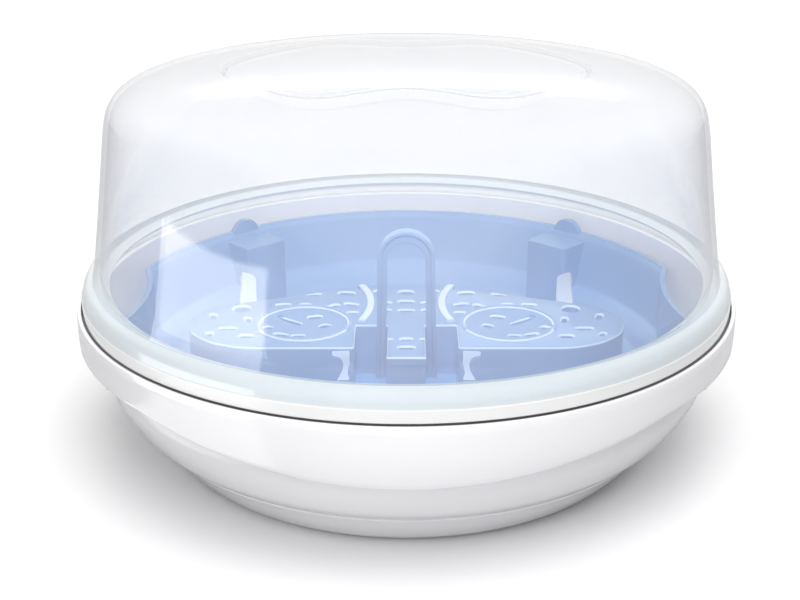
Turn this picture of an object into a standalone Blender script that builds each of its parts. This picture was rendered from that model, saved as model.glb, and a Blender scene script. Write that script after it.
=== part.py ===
"""Microwave steam sterilizer for baby bottles.

A white base bowl holds the water, a pale blue steam tray with an upright lift hoop stands in it,
and a clear lid rests on the bowl's rim. Two side clips hang under the skirt and swing up over the
lid's shoulder. Lengths are in millimetres and are scaled to metres where the shapes are made.
"""

import math

import bmesh
import bpy
from mathutils import Matrix, Vector

MM = 0.001
GAP = 0.3

# Driving sizes: heights are above the surface that the bowl stands on.
SEAM_Z = 67.5
RADIUS = 140.4
LID_TOP_Z = 164.5
PLASTIC = 2.2
LATHE_STEPS = 64

# Bowl
RIM_RADIUS = 133.0
RIM_Z = SEAM_Z + 2.3
LAND_Z = SEAM_Z + 0.4
GROOVE_Z = SEAM_Z - 0.9
FLOOR_Z = 3.0
LEDGE_Z = 19.5
FOOT_INNER = 93.0
FOOT_OUTER = 99.5
SKIRT_SIDE_Z = SEAM_Z - 13.5
SKIRT_FRONT_Z = SEAM_Z - 25.3
SKIRT_THICK = 2.6

# Tray
TRAY_RIM_RADIUS = 127.0
TRAY_RIM_Z = SEAM_Z - 6.0
TRAY_FLOOR_Z = 26.5
TRAY_UNDER_Z = TRAY_FLOOR_Z - 2.0
DECK_Z = 50.0
DECK_SKIN = 2.2
NOTCH_RADIUS = 109.0
NOTCH_X = 115.5
PILLAR_ANGLE = 49.0
PILLAR_TOP_Z = SEAM_Z - 9.7
TAB_RADIUS = 6.8
SEAT_X = 47.0
SEAT_Y = -2.0
SEAT_RADIUS = 18.6
SEAT_DEPTH = 1.0
SLOT_WIDTH = 2.2

# Hoop
HOOP_FOOT_Z = TRAY_FLOOR_Z + GAP
HOOP_TOP_Z = SEAM_Z + 27.2
HOOP_Y = -8.9
HOOP_HALF_WIDTH = 13.4
HOOP_CROWN = 12.2
HOOP_LEG = 4.2
HOOP_DEPTH = 5.0

# Lid
FLANGE_RADIUS = 137.9
PANEL_HALF_LENGTH = 74.5
PANEL_HALF_WIDTH = 67.0
PANEL_WAIST = 0.265

# Clips: the profile is drawn closed over the lid, about the hinge axis, and swung down to rest.
CLIP_HINGE_X = 138.9
CLIP_HINGE_Z = SEAM_Z - 16.6
CLIP_WIDTH = 28.0
CLIP_OPEN_DEG = 200.0
PIVOT_RADIUS = 1.0
PIVOT_CLEARANCE = 0.25
EAR_THICK = 3.0
EAR_RADIUS = 2.1

WHITE = (0.86, 0.86, 0.88)
BLUE = (0.42, 0.60, 0.86)
CLEAR = (0.90, 0.92, 0.94)


def clear_scene():
    for obj in list(bpy.data.objects):
        bpy.data.objects.remove(obj, do_unlink=True)


def new_collection(name):
    collection = bpy.data.collections.new(name)
    bpy.context.scene.collection.children.link(collection)
    return collection


clear_scene()
PARTS = new_collection("bottle_sterilizer")
CUTTERS = new_collection("cutters")


def plastic(name, colour, roughness, transmission=0.0):
    material = bpy.data.materials.new(name)
    material.use_nodes = True
    shader = material.node_tree.nodes["Principled BSDF"]
    shader.inputs["Base Color"].default_value = (*colour, 1.0)
    shader.inputs["Roughness"].default_value = roughness
    shader.inputs["Metallic"].default_value = 0.0
    shader.inputs["Transmission Weight"].default_value = transmission
    return material


def add_object(name, mesh, material=None):
    """Put a mesh in the scene as a part, or as a cutter where it has no material."""
    obj = bpy.data.objects.new(name, mesh)
    if material:
        mesh.materials.append(material)
        PARTS.objects.link(obj)
    else:
        CUTTERS.objects.link(obj)
        obj.hide_render = True
        obj.display_type = "WIRE"
    return obj


def lathe(name, profile, material=None, steps=LATHE_STEPS):
    """Turn an open or closed profile of (radius, height) about Z; the outer side runs downwards."""
    mesh = bpy.data.meshes.new(name)
    points = [(r * MM, 0.0, z * MM) for r, z in profile]
    edges = [(i, i + 1) for i in range(len(points) - 1)]
    mesh.from_pydata(points, edges, [])
    obj = add_object(name, mesh, material)
    screw = obj.modifiers.new("turn", "SCREW")
    screw.axis = "Z"
    screw.angle = math.tau
    screw.steps = steps
    screw.render_steps = steps
    screw.use_merge_vertices = True
    screw.merge_threshold = 0.00001
    return obj


def prism(name, outline, low, high, material=None):
    """Extrude a closed anticlockwise outline of (x, y) from one height to another."""
    mesh = bpy.data.meshes.new(name)
    shape = bmesh.new()
    corners = [shape.verts.new((x * MM, y * MM, low * MM)) for x, y in outline]
    base = shape.faces.new(corners)
    raised = bmesh.ops.extrude_face_region(shape, geom=[base])
    top = [v for v in raised["geom"] if isinstance(v, bmesh.types.BMVert)]
    bmesh.ops.translate(shape, verts=top, vec=(0.0, 0.0, (high - low) * MM))
    bmesh.ops.recalc_face_normals(shape, faces=shape.faces)
    shape.to_mesh(mesh)
    shape.free()
    return add_object(name, mesh, material)


def cylinder(name, radius, low, high, steps, x=0.0, y=0.0, material=None):
    ring = []
    for i in range(steps):
        angle = math.tau * i / steps
        ring.append((x + radius * math.cos(angle), y + radius * math.sin(angle)))
    return prism(name, ring, low, high, material)


def box(name, size, centre, turn=0.0):
    """A cutter box, turned about Z by degrees after it is placed at its centre."""
    half_x, half_y, half_z = (s / 2 for s in size)
    outline = [(-half_x, -half_y), (half_x, -half_y), (half_x, half_y), (-half_x, half_y)]
    obj = prism(name, outline, -half_z, half_z)
    place = Matrix.Rotation(math.radians(turn), 4, "Z") @ Matrix.Translation(Vector(centre) * MM)
    obj.matrix_world = place
    return obj


def combine(target, other, operation):
    """Add an exact boolean that stays live on the target."""
    modifier = target.modifiers.new(operation.lower() + "_" + other.name, "BOOLEAN")
    modifier.operation = operation
    modifier.solver = "EXACT"
    modifier.object = other
    return modifier


def cut(target, *others):
    for other in others:
        combine(target, other, "DIFFERENCE")


def join(target, *others):
    for other in others:
        combine(target, other, "UNION")


def merged(name, meshes):
    """One cutter mesh out of several separate ones, so that a single boolean removes them all."""
    shape = bmesh.new()
    for obj in meshes:
        bpy.context.view_layer.update()
        piece = obj.data.copy()
        piece.transform(obj.matrix_world)
        shape.from_mesh(piece)
        bpy.data.meshes.remove(piece)
        bpy.data.objects.remove(obj, do_unlink=True)
    mesh = bpy.data.meshes.new(name)
    shape.to_mesh(mesh)
    shape.free()
    return add_object(name, mesh)


def arc(x, y, radius, start, end, steps):
    """Points on an arc about (x, y), from one angle to another in degrees."""
    points = []
    for i in range(steps + 1):
        angle = math.radians(start + (end - start) * i / steps)
        points.append((x + radius * math.cos(angle), y + radius * math.sin(angle)))
    return points


# ---------------------------------------------------------------- bowl

def skirt_edge_height(angle):
    """The skirt dips at the front and back and is cut short at the sides, over the clips."""
    dip = max(0.0, math.cos(2.0 * (angle + math.pi / 2.0)))
    return SKIRT_SIDE_Z + (SKIRT_FRONT_Z - SKIRT_SIDE_Z) * dip ** 1.3


def skirt_trimmer():
    """A ring outside the bowl wall whose top follows the skirt's lower edge."""
    shape = bmesh.new()
    inner = RIM_RADIUS + 0.6
    outer = RADIUS + 6.0
    low = SKIRT_FRONT_Z - 6.0
    rings = []
    for i in range(LATHE_STEPS):
        angle = math.tau * i / LATHE_STEPS
        high = skirt_edge_height(angle)
        corners = [(inner, low), (outer, low), (outer, high), (inner, high)]
        ring = []
        for r, z in corners:
            ring.append(shape.verts.new((r * math.cos(angle) * MM, r * math.sin(angle) * MM, z * MM)))
        rings.append(ring)
    for i in range(LATHE_STEPS):
        here, there = rings[i], rings[(i + 1) % LATHE_STEPS]
        for k in range(4):
            shape.faces.new((here[k], there[k], there[(k + 1) % 4], here[(k + 1) % 4]))
    bmesh.ops.recalc_face_normals(shape, faces=shape.faces)
    mesh = bpy.data.meshes.new("skirt_trimmer")
    shape.to_mesh(mesh)
    shape.free()
    return add_object("skirt_trimmer", mesh)


def clip_ears(side):
    """Two cheeks under the short part of the skirt, bored for a clip's moulded pivots."""
    cheeks = []
    root = RIM_RADIUS - 3.0
    for end in (-1, 1):
        nose = arc(CLIP_HINGE_X, CLIP_HINGE_Z, EAR_RADIUS, -80, 60, 6)
        profile = [(root, CLIP_HINGE_Z - 7.0)] + nose
        profile += [(RADIUS - 1.6, SKIRT_SIDE_Z + 1.0), (root, SKIRT_SIDE_Z + 1.0)]
        cheek = prism("cheek", profile, -EAR_THICK / 2, EAR_THICK / 2)
        middle = end * (CLIP_WIDTH / 2 + GAP + EAR_THICK / 2)
        cheek.matrix_world = side_frame(side, middle)
        cheeks.append(cheek)
    return merged("clip_ears_" + side, cheeks)


def side_frame(side, along=0.0):
    """Stand an (out, up) profile on the object's side, with its thickness running along Y."""
    out = 1.0 if side == "right" else -1.0
    frame = Matrix(((out, 0, 0, 0), (0, 0, -out, along * MM), (0, 1, 0, 0), (0, 0, 0, 1)))
    return frame


def base_bowl():
    inner_side = [
        (0.0, FLOOR_Z), (97.5, FLOOR_Z), (101.5, 5.0), (105.0, 9.0), (107.5, 14.5), (108.6, LEDGE_Z),
        (113.6, LEDGE_Z), (119.4, 24.6), (124.8, 32.6), (128.0, 39.5), (129.6, 47.5), (130.3, 57.0),
        (130.5, RIM_Z - 0.5), (131.0, RIM_Z),
    ]
    rim_and_skirt = [
        (RIM_RADIUS - 0.4, RIM_Z), (RIM_RADIUS, RIM_Z - 0.4), (RIM_RADIUS, LAND_Z), (136.0, LAND_Z),
        (136.0, GROOVE_Z), (RADIUS - 0.8, GROOVE_Z), (RADIUS - 0.2, GROOVE_Z - 0.7),
        (RADIUS, SEAM_Z - 4.5), (RADIUS, SEAM_Z - 10.0), (RADIUS - 0.6, SEAM_Z - 16.0),
        (RADIUS - 1.8, SEAM_Z - 21.5), (RADIUS - 3.0, SKIRT_FRONT_Z), (RADIUS - 5.0, SKIRT_FRONT_Z),
        (RADIUS - SKIRT_THICK, SEAM_Z - 12.0), (RADIUS - SKIRT_THICK, SEAM_Z - 3.6),
    ]
    outer_side = [
        (RIM_RADIUS - 0.3, SEAM_Z - 3.6), (RIM_RADIUS - 0.6, 56.0), (131.7, 46.5), (130.3, 38.6),
        (126.9, 31.0), (121.6, 22.6), (115.6, 17.0), (113.4, 17.0), (111.0, 13.0), (107.4, 7.0),
        (103.2, 2.4), (FOOT_OUTER + 0.6, 0.3), (FOOT_OUTER, 0.0), (FOOT_INNER, 0.0),
        (FOOT_INNER - 0.8, 0.8), (0.0, 0.8),
    ]
    bowl = lathe("base_bowl", inner_side + rim_and_skirt + outer_side, plastic("white_plastic", WHITE, 0.22))
    cut(bowl, skirt_trimmer())
    for side in ("left", "right"):
        join(bowl, clip_ears(side))
        out = 1.0 if side == "right" else -1.0
        hole = cylinder("pivot_hole_" + side, PIVOT_RADIUS + PIVOT_CLEARANCE, -CLIP_WIDTH, CLIP_WIDTH, 16)
        hole.matrix_world = side_frame(side)
        hole.location = (out * CLIP_HINGE_X * MM, 0.0, CLIP_HINGE_Z * MM)
        cut(bowl, hole)
    return bowl


# ---------------------------------------------------------------- tray

def four_corners(make):
    """Repeat a feature at the four pillar positions around the tray."""
    made = []
    for angle in (PILLAR_ANGLE, 180 - PILLAR_ANGLE, 180 + PILLAR_ANGLE, 360 - PILLAR_ANGLE):
        made += make(angle)
    return made


def pillar(angle):
    low = TRAY_UNDER_Z - 0.2
    middle = (low + PILLAR_TOP_Z) / 2
    return [box("pillar", (20.0, 23.0, PILLAR_TOP_Z - low), (116.0, 0.0, middle), angle)]


def pillar_window(angle):
    """A tapered opening with a round head, from the floor half way up a pillar."""
    outline = [(-4.2, TRAY_FLOOR_Z + 0.4), (4.2, TRAY_FLOOR_Z + 0.4)] + arc(0.0, 39.6, 3.2, 0, 180, 6)
    window = prism("window", outline, 98.0, 132.0)
    upright = Matrix(((0, 0, 1, 0), (1, 0, 0, 0), (0, 1, 0, 0), (0, 0, 0, 1)))
    window.matrix_world = Matrix.Rotation(math.radians(angle), 4, "Z") @ upright
    return [window]


def rim_tab(angle):
    tab = cylinder("tab", TAB_RADIUS, TRAY_RIM_RADIUS - 3.4, TRAY_RIM_RADIUS - 0.2, 24)
    turn = Matrix.Rotation(math.radians(angle), 4, "Z") @ Matrix.Rotation(math.pi / 2, 4, "Y")
    tab.matrix_world = Matrix.Translation((0.0, 0.0, (TRAY_RIM_Z - 0.8) * MM)) @ turn
    return [tab]


def deck_outline(inset):
    """The raised deck: a tongue in front, set-back bays beside it and a broad lens-shaped back."""
    right = [
        (8.2 - inset, -46.0 + inset), (8.2 - inset, -6.0 + inset), (22.0 + inset, -6.0 + inset),
        (22.0 + inset, -31.0 + inset), (70.0 - inset * 0.5, -31.0 + inset),
        (84.0 - inset * 0.8, -25.0 + inset * 0.8), (94.0 - inset, -14.0 + inset * 0.5),
        (96.5 - inset, 0.0), (92.0 - inset, 11.0 - inset * 0.5), (76.0 - inset * 0.6, 21.0 - inset),
        (54.0, 29.0 - inset), (30.0, 38.5 - inset),
    ]
    left = [(-x, y) for x, y in reversed(right)]
    return right + left


def slot(x, y, length, turn):
    piece = box("slot", (length, SLOT_WIDTH, 12.0), (0.0, 0.0, 0.0))
    piece.matrix_world = Matrix.Translation((x * MM, y * MM, DECK_Z * MM)) @ Matrix.Rotation(
        math.radians(turn), 4, "Z")
    return piece


def deck_slots():
    slots = []
    for y in (-38.0, -31.0, -22.0, 4.0, 12.0, 22.0, 33.0):
        slots.append(slot(0.0, y, 6.5, 0.0))
    for side in (-1, 1):
        for x, y in ((13.0, 32.0), (22.0, 31.0), (13.0, 22.0), (22.0, 21.0), (12.5, 11.5)):
            slots.append(slot(side * x, y, 6.0, 0.0))
        for i in range(8):
            slots.append(ring_slot(side, 25.0, -120.0 + 32.0 * i, 7.0))
        for i in range(6):
            slots.append(ring_slot(side, 11.0, 30.0 + 60.0 * i, 5.5))
        for i in range(4):
            slots.append(ring_slot(side, 36.0, -38.0 + 24.0 * i, 7.0))
    return slots


def ring_slot(side, radius, angle, length):
    """A short slot lying along a ring about a seat's centre."""
    x = SEAT_X + radius * math.cos(math.radians(angle))
    y = SEAT_Y + radius * math.sin(math.radians(angle))
    return slot(side * x, y, length, side * (angle + 90.0))


def crescent(side):
    """The curved opening between a seat and the middle of the deck."""
    outline = arc(SEAT_X, SEAT_Y, 30.0, 150, 200, 8) + arc(SEAT_X, SEAT_Y, 22.5, 190, 160, 6)
    outline = [(side * x, y) for x, y in outline]
    return prism("crescent", outline, DECK_Z - 6, DECK_Z + 6)


def keyhole(side):
    """The tall opening in the deck's front face beside each bay, wide above and narrow below."""
    middle = side * 28.5
    outline = [(-5.5, -2.0), (5.5, -2.0), (5.5, -7.5), (1.5, -9.0), (1.5, -21.0), (-4.5, -21.0)]
    opening = prism("keyhole", [(side * x, z) for x, z in outline], -6.0, 6.0)
    opening.matrix_world = Matrix.Translation((middle * MM, -31.0 * MM, DECK_Z * MM)) @ Matrix.Rotation(
        math.pi / 2, 4, "X")
    return [opening]


def steam_tray():
    outside = [
        (0.0, TRAY_RIM_Z), (TRAY_RIM_RADIUS, TRAY_RIM_Z), (TRAY_RIM_RADIUS, TRAY_RIM_Z - 1.8),
        (125.4, TRAY_RIM_Z - 2.3), (118.6, SEAM_Z - 29.0), (113.4, 33.6), (111.2, 28.5),
        (111.0, LEDGE_Z + GAP), (109.0, LEDGE_Z + GAP), (108.2, TRAY_UNDER_Z), (0.0, TRAY_UNDER_Z),
    ]
    inside = [
        (0.0, 75.0), (124.8, 75.0), (124.8, TRAY_RIM_Z - 0.4), (123.2, TRAY_RIM_Z - 2.2),
        (116.4, SEAM_Z - 28.0), (110.6, 34.2), (107.2, TRAY_FLOOR_Z), (0.0, TRAY_FLOOR_Z),
    ]
    tray = lathe("steam_tray", outside, plastic("blue_plastic", BLUE, 0.25, 0.35))
    hollow = lathe("tray_hollow", inside)
    for side in (-1, 1):
        centre = side * (NOTCH_X + NOTCH_RADIUS)
        cut(tray, cylinder("notch_out", NOTCH_RADIUS, 15.0, 80.0, 96, x=centre))
        cut(hollow, cylinder("notch_in", NOTCH_RADIUS + PLASTIC, 10.0, 85.0, 96, x=centre))
    cut(hollow, merged("pillars", four_corners(pillar)))
    cut(hollow, prism("deck_block", deck_outline(0.0), 15.0, DECK_Z))
    cut(tray, hollow)
    cut(tray, prism("deck_hollow", deck_outline(PLASTIC), 12.0, DECK_Z - DECK_SKIN))
    seats = []
    for side in (-1, 1):
        seats.append(cylinder("seat", SEAT_RADIUS, DECK_Z - SEAT_DEPTH, DECK_Z + 4.0, 32,
                              x=side * SEAT_X, y=SEAT_Y))
    cut(tray, merged("seats", seats))
    openings = deck_slots() + [crescent(-1), crescent(1)] + keyhole(-1) + keyhole(1)
    for number, opening in enumerate((openings, four_corners(pillar_window))):
        cut(tray, merged("openings_" + str(number), opening))
    join(tray, merged("rim_tabs", four_corners(rim_tab)))
    return tray


def lift_hoop():
    """The upright loop whose legs stand on the tray floor in the bays beside the tongue."""
    crown_z = HOOP_TOP_Z - HOOP_CROWN
    outer = [(HOOP_HALF_WIDTH, HOOP_FOOT_Z)] + arc(0.0, crown_z, HOOP_CROWN, 0, 180, 16)
    outer += [(-HOOP_HALF_WIDTH, HOOP_FOOT_Z)]
    inner_radius = HOOP_CROWN - HOOP_LEG
    inner = [(-HOOP_HALF_WIDTH + HOOP_LEG, HOOP_FOOT_Z)]
    inner += arc(0.0, crown_z - 1.4, inner_radius, 180, 0, 16)
    inner += [(HOOP_HALF_WIDTH - HOOP_LEG, HOOP_FOOT_Z)]
    hoop = prism("lift_hoop", outer + inner, -HOOP_DEPTH / 2, HOOP_DEPTH / 2,
                 plastic("hoop_plastic", BLUE, 0.25, 0.35))
    hoop.matrix_world = Matrix.Translation((0.0, HOOP_Y * MM, 0.0)) @ Matrix.Rotation(math.pi / 2, 4, "X")
    bevel = hoop.modifiers.new("soft_edges", "BEVEL")
    bevel.width = 0.8 * MM
    bevel.segments = 1
    bevel.limit_method = "ANGLE"
    bevel.angle_limit = math.radians(50)
    return hoop


# ---------------------------------------------------------------- lid

def panel_outline():
    """A soft dog-bone about the lid's centre, from a formula in the angle."""
    points = []
    steps = 60
    for i in range(steps):
        angle = math.tau * i / steps
        along = PANEL_HALF_LENGTH * math.cos(angle)
        waist = 1.0 - PANEL_WAIST * math.cos(math.pi * min(1.0, abs(along) / 78.0)) ** 2
        across = PANEL_HALF_WIDTH * math.copysign(abs(math.sin(angle)) ** 0.8, math.sin(angle)) * waist
        points.append((along, across))
    return points


def lid():
    crown = [
        (0.0, LID_TOP_Z), (30.0, LID_TOP_Z - 0.5), (60.0, LID_TOP_Z - 1.8), (88.0, LID_TOP_Z - 3.8),
        (104.0, LID_TOP_Z - 5.4), (112.5, LID_TOP_Z - 7.7), (117.4, LID_TOP_Z - 10.3),
        (120.8, LID_TOP_Z - 14.0), (122.9, LID_TOP_Z - 18.8), (123.9, LID_TOP_Z - 25.0),
    ]
    wall = [(126.4, SEAM_Z + 54.0), (129.4, SEAM_Z + 33.0), (131.6, SEAM_Z + 18.0), (132.2, SEAM_Z + 13.2)]
    shoulder = [
        (134.6, SEAM_Z + 11.8), (136.5, SEAM_Z + 9.4), (137.6, SEAM_Z + 6.2), (FLANGE_RADIUS, SEAM_Z + 0.7),
        (134.2, SEAM_Z + 0.7), (134.2, SEAM_Z + 2.6), (135.4, SEAM_Z + 4.4), (134.8, SEAM_Z + 7.6),
        (133.2, SEAM_Z + 9.4), (130.3, SEAM_Z + 11.0),
    ]
    inner_wall = [(129.6, SEAM_Z + 17.6), (127.4, SEAM_Z + 33.0), (124.4, SEAM_Z + 54.0)]
    inner_crown = [
        (121.9, LID_TOP_Z - 25.2), (120.6, LID_TOP_Z - 19.4), (118.6, LID_TOP_Z - 15.0),
        (115.8, LID_TOP_Z - 11.9), (111.6, LID_TOP_Z - 9.6), (103.4, LID_TOP_Z - 7.4),
        (88.0, LID_TOP_Z - 5.8), (60.0, LID_TOP_Z - 3.8), (30.0, LID_TOP_Z - 2.5), (0.0, LID_TOP_Z - 2.0),
    ]
    profile = crown + wall + shoulder + inner_wall + inner_crown
    shell = lathe("lid", profile, plastic("clear_plastic", CLEAR, 0.12, 0.8))
    panel = prism("panel", panel_outline(), LID_TOP_Z - 7.0, LID_TOP_Z + 9.0)
    raised = [(0.0, LID_TOP_Z + 1.3), (30.0, LID_TOP_Z + 0.8), (60.0, LID_TOP_Z - 0.5),
              (90.0, LID_TOP_Z - 2.6), (90.0, LID_TOP_Z - 4.6), (60.0, LID_TOP_Z - 2.6),
              (30.0, LID_TOP_Z - 1.2), (0.0, LID_TOP_Z - 0.8)]
    pad = lathe("pad", raised)
    combine(pad, panel, "INTERSECT")
    join(shell, pad)
    return shell


# ---------------------------------------------------------------- side clips

def side_clip(side):
    """A flap with a hooked end, drawn closed about its hinge and swung down to hang open."""
    barrel = arc(0.0, 0.0, 1.7, 120, 340, 10)
    outer = [(3.6, 2.4), (3.8, 27.6), (3.3, 29.0), (2.3, 29.6)]
    hook = [(-2.9, 29.6), (-3.4, 29.0), (-3.4, 27.8), (1.9, 27.4), (1.9, 2.3)]
    closed = barrel + outer + hook
    clip = prism("side_clip_" + side, closed, -CLIP_WIDTH / 2, CLIP_WIDTH / 2,
                 plastic("clip_plastic_" + side, WHITE, 0.25))
    pivot = cylinder("pivot_" + side, PIVOT_RADIUS, -CLIP_WIDTH / 2 - EAR_THICK, CLIP_WIDTH / 2 + EAR_THICK, 16)
    join(clip, pivot)
    pivot.parent = clip
    out = 1.0 if side == "right" else -1.0
    swing = Matrix.Rotation(-math.radians(CLIP_OPEN_DEG), 4, "Z")
    hinge = Matrix.Translation((out * CLIP_HINGE_X * MM, 0.0, CLIP_HINGE_Z * MM))
    clip.matrix_world = hinge @ side_frame(side) @ swing
    return clip


base_bowl()
steam_tray()
lift_hoop()
lid()
for clip_side in ("left", "right"):
    side_clip(clip_side)
bpy.context.view_layer.update()
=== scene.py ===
import math

import bmesh
import bpy
from mathutils import Matrix, Vector


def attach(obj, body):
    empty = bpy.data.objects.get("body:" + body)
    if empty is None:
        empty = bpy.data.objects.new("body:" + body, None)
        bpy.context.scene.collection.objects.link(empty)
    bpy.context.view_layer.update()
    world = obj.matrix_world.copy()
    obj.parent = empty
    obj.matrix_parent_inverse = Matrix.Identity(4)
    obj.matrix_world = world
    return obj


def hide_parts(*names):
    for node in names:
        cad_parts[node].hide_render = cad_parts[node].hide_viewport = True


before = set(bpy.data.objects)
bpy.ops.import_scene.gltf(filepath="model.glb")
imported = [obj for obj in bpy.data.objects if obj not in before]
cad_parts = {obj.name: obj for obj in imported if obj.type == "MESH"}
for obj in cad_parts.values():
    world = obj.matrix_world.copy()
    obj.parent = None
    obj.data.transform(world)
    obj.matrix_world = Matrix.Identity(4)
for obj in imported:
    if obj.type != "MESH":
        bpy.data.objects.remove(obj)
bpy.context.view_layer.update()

# Lengths are in millimetres here and are scaled to metres where the meshes are made.
MM = 0.001

# How many steps go round a turned shell.
STEPS = 256

# Heights above the floor, and the sizes that the CAD model has too.
SEAM = 67.5
RADIUS = 140.4
RIM_RADIUS = 133.0
RIM = SEAM + 2.3
TRAY_RIM = SEAM - 6.0
TRAY_FLOOR = 26.5
DECK = 50.0
HINGE_X = 138.9
HINGE_Z = SEAM - 16.6
CLIP_WIDTH = 28.0
CLIP_OPEN_DEG = 200.0


# ---------------------------------------------------------------- shape helpers

def smoothstep(low, high, value):
    t = min(1.0, max(0.0, (value - low) / (high - low)))
    return t * t * (3.0 - 2.0 * t)


def lerp(a, b, t):
    return a + (b - a) * t


def table(points, value):
    """Smooth reading of a table of (value, result), with the values rising."""
    if value <= points[0][0]:
        return points[0][1]
    for i in range(len(points) - 1):
        x0, y0 = points[i]
        x1, y1 = points[i + 1]
        if value <= x1:
            before = points[i - 1] if i > 0 else points[i]
            after = points[i + 2] if i + 2 < len(points) else points[i + 1]
            t = (value - x0) / (x1 - x0)
            slope0 = (y1 - before[1]) / (x1 - before[0]) * (x1 - x0)
            slope1 = (after[1] - y0) / (after[0] - x0) * (x1 - x0)
            a = 2.0 * t ** 3 - 3.0 * t ** 2 + 1.0
            b = t ** 3 - 2.0 * t ** 2 + t
            c = -2.0 * t ** 3 + 3.0 * t ** 2
            d = t ** 3 - t ** 2
            return a * y0 + b * slope0 + c * y1 + d * slope1
    return points[-1][1]


def rounded(points, steps=5, closed=False):
    """A polyline of (x, y, cut) whose corners are rounded off, starting cut before each corner."""
    result = []
    count = len(points)
    for i, (x, y, size) in enumerate(points):
        if not closed and i in (0, count - 1):
            result.append((x, y))
            continue
        px, py, _ = points[i - 1]
        nx, ny, _ = points[(i + 1) % count]
        to_last = math.hypot(px - x, py - y)
        to_next = math.hypot(nx - x, ny - y)
        size = min(size, 0.48 * to_last, 0.48 * to_next)
        if size < 0.02:
            result.append((x, y))
            continue
        ax = x + (px - x) * size / to_last
        ay = y + (py - y) * size / to_last
        bx = x + (nx - x) * size / to_next
        by = y + (ny - y) * size / to_next
        for k in range(steps + 1):
            t = k / steps
            u = 1.0 - t
            curve_x = u * u * ax + 2 * u * t * x + t * t * bx
            curve_y = u * u * ay + 2 * u * t * y + t * t * by
            result.append((curve_x, curve_y))
    return result


def arc(x, y, radius, start, end, steps):
    """Points on a circle's arc, with start and end in degrees."""
    points = []
    for i in range(steps + 1):
        angle = math.radians(lerp(start, end, i / steps))
        points.append((x + radius * math.cos(angle), y + radius * math.sin(angle)))
    return points


def new_object(name, mesh, material, sharp=32.0):
    """Shade a mesh smooth, except at edges sharper than so many degrees, and put it in the scene."""
    mesh.validate()
    mesh.shade_smooth()
    mesh.set_sharp_from_angle(angle=math.radians(sharp))
    obj = bpy.data.objects.new(name, mesh)
    bpy.context.scene.collection.objects.link(obj)
    if material:
        mesh.materials.append(material)
    return obj


def ring_mesh(name, rings, close_start, close_end):
    """Skin a list of rings of points; a ring of one point is a pole."""
    shape = bmesh.new()
    made = []
    for ring in rings:
        made.append([shape.verts.new(Vector(p) * MM) for p in ring])
    for here, there in zip(made, made[1:]):
        count = max(len(here), len(there))
        for i in range(count):
            j = (i + 1) % count
            if len(here) == 1:
                shape.faces.new((here[0], there[i], there[j]))
            elif len(there) == 1:
                shape.faces.new((here[i], there[0], here[j]))
            else:
                shape.faces.new((here[i], there[i], there[j], here[j]))
    if close_start:
        shape.faces.new(made[0])
    if close_end:
        shape.faces.new(list(reversed(made[-1])))
    bmesh.ops.recalc_face_normals(shape, faces=shape.faces)
    mesh = bpy.data.meshes.new(name)
    shape.to_mesh(mesh)
    shape.free()
    return mesh


def turned(name, section, material, steps=STEPS, sharp=32.0):
    """Turn a section, a function from the angle to a list of (radius, height), about Z."""
    profiles = []
    for i in range(steps):
        angle = math.tau * i / steps
        profiles.append((angle, section(angle)))
    rings = []
    for k, (radius, height) in enumerate(profiles[0][1]):
        if radius < 0.001:
            rings.append([(0.0, 0.0, height)])
            continue
        ring = []
        for angle, profile in profiles:
            r, z = profile[k]
            ring.append((r * math.cos(angle), r * math.sin(angle), z))
        rings.append(ring)
    return new_object(name, ring_mesh(name, rings, False, False), material, sharp)


def prism(name, outline, low, high, soften=0.0, segments=3, top_only=False, material=None):
    """Extrude an outline of (x, y) upwards, with its top or both ends' edges rounded."""
    shape = bmesh.new()
    corners = [shape.verts.new((x * MM, y * MM, low * MM)) for x, y in outline]
    base = shape.faces.new(corners)
    raised = bmesh.ops.extrude_face_region(shape, geom=[base])
    top = [v for v in raised["geom"] if isinstance(v, bmesh.types.BMVert)]
    bmesh.ops.translate(shape, verts=top, vec=(0.0, 0.0, (high - low) * MM))
    bmesh.ops.recalc_face_normals(shape, faces=shape.faces)
    if soften:
        middle = (low + high) / 2 * MM
        edges = []
        for edge in shape.edges:
            heights = [v.co.z for v in edge.verts]
            flat = abs(heights[0] - heights[1]) < 0.01 * MM
            if flat and (heights[0] > middle or not top_only):
                edges.append(edge)
        bmesh.ops.bevel(shape, geom=edges, offset=soften * MM, segments=segments, profile=0.5,
                        affect="EDGES", clamp_overlap=True)
    mesh = bpy.data.meshes.new(name)
    shape.to_mesh(mesh)
    shape.free()
    return new_object(name, mesh, material)


def disc(name, radius, low, high, steps=48, x=0.0, soften=0.0):
    ring = arc(x, 0.0, radius, 0.0, 360.0 * (steps - 1) / steps, steps - 1)
    return prism(name, ring, low, high, soften)


def merged(name, objects):
    """One object out of several that don't touch each other."""
    shape = bmesh.new()
    bpy.context.view_layer.update()
    for obj in objects:
        piece = obj.data.copy()
        piece.transform(obj.matrix_world)
        shape.from_mesh(piece)
        bpy.data.meshes.remove(piece)
        bpy.data.objects.remove(obj, do_unlink=True)
    mesh = bpy.data.meshes.new(name)
    shape.to_mesh(mesh)
    shape.free()
    obj = bpy.data.objects.new(name, mesh)
    bpy.context.scene.collection.objects.link(obj)
    return obj


def apply_boolean(target, other, operation):
    """Apply an exact boolean at once and drop the other object."""
    modifier = target.modifiers.new("boolean", "BOOLEAN")
    modifier.operation = operation
    modifier.solver = "EXACT"
    modifier.object = other
    bpy.context.view_layer.update()
    graph = bpy.context.evaluated_depsgraph_get()
    mesh = bpy.data.meshes.new_from_object(target.evaluated_get(graph))
    target.modifiers.clear()
    target.data = mesh
    bpy.data.objects.remove(other, do_unlink=True)


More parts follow.
